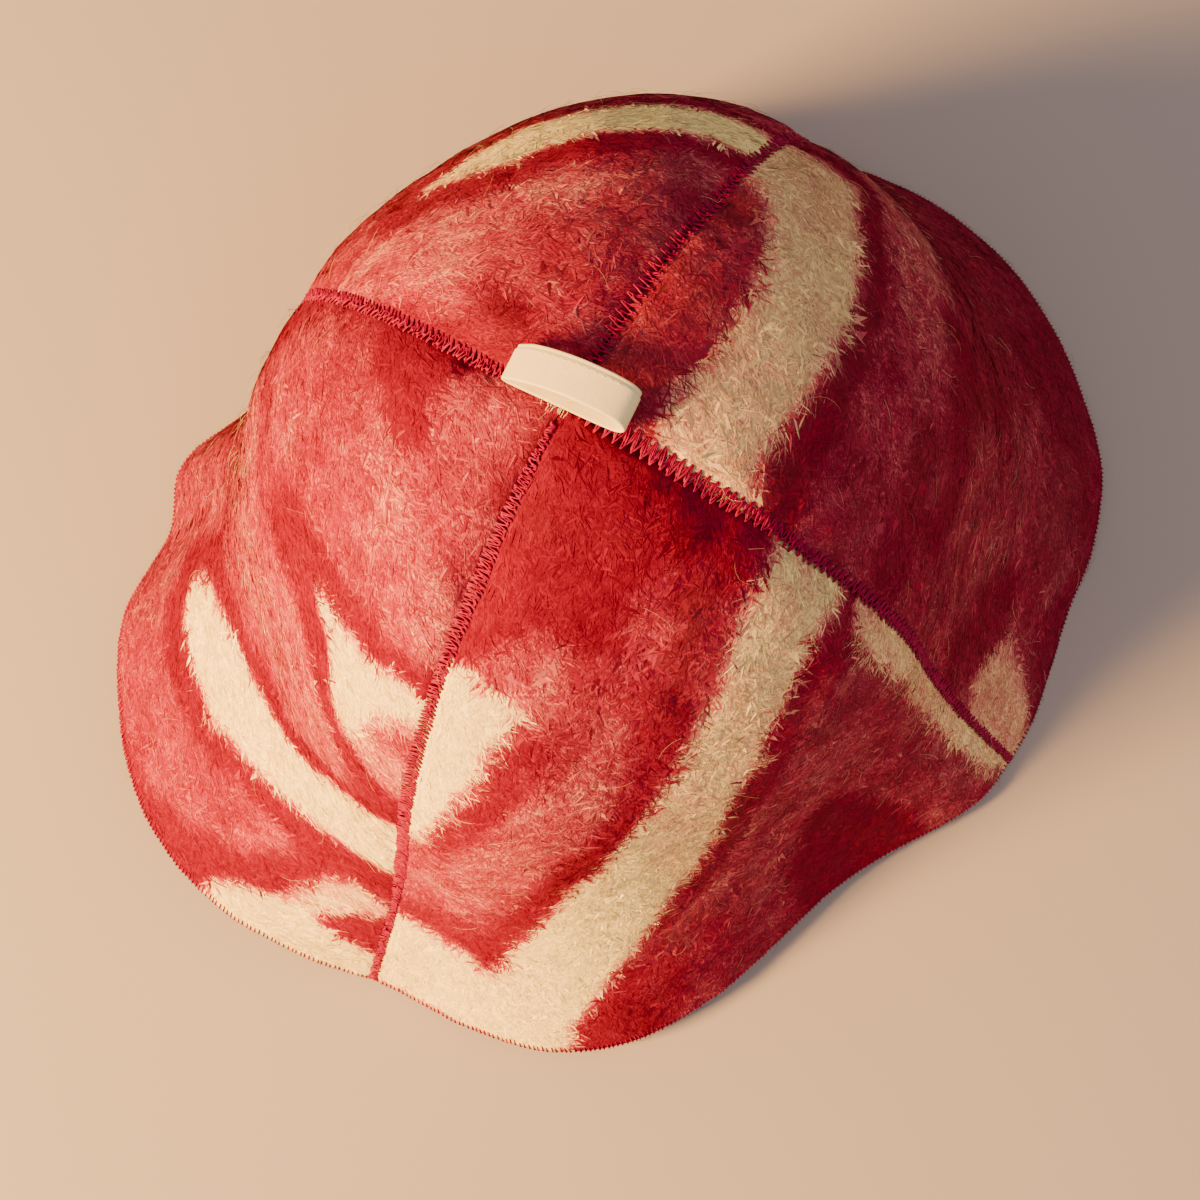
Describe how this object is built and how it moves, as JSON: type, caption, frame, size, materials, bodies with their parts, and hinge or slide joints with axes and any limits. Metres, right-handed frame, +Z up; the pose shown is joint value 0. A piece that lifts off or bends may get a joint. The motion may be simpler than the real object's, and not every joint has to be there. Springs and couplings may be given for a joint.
{
  "type": "sauna hat",
  "caption": "Soft bell-shaped sauna hat of brushed wool blanket cloth in petal gores, with a flared wavy brim, an open head hollow and a flat ribbon hanging loop at the apex.",
  "frame": {"origin": "on the plane that the hem rests on, under the middle of the bounding box", "axes": "+Z up through the crown, -Y towards the front gore, +X to the wearer's left as seen from the front"},
  "size_m": [0.288, 0.2574, 0.1718],
  "materials": {
    "blanket_cloth": "raised wool, red and cream, mottled",
    "ribbon": "woven ivory ribbon with a slight sheen"
  },
  "bodies": {
    "root": {"gore_left": "blanket_cloth", "gore_front": "blanket_cloth", "gore_right": "blanket_cloth", "gore_back": "blanket_cloth", "hang_loop": "ribbon"}
  },
  "joints": []
}
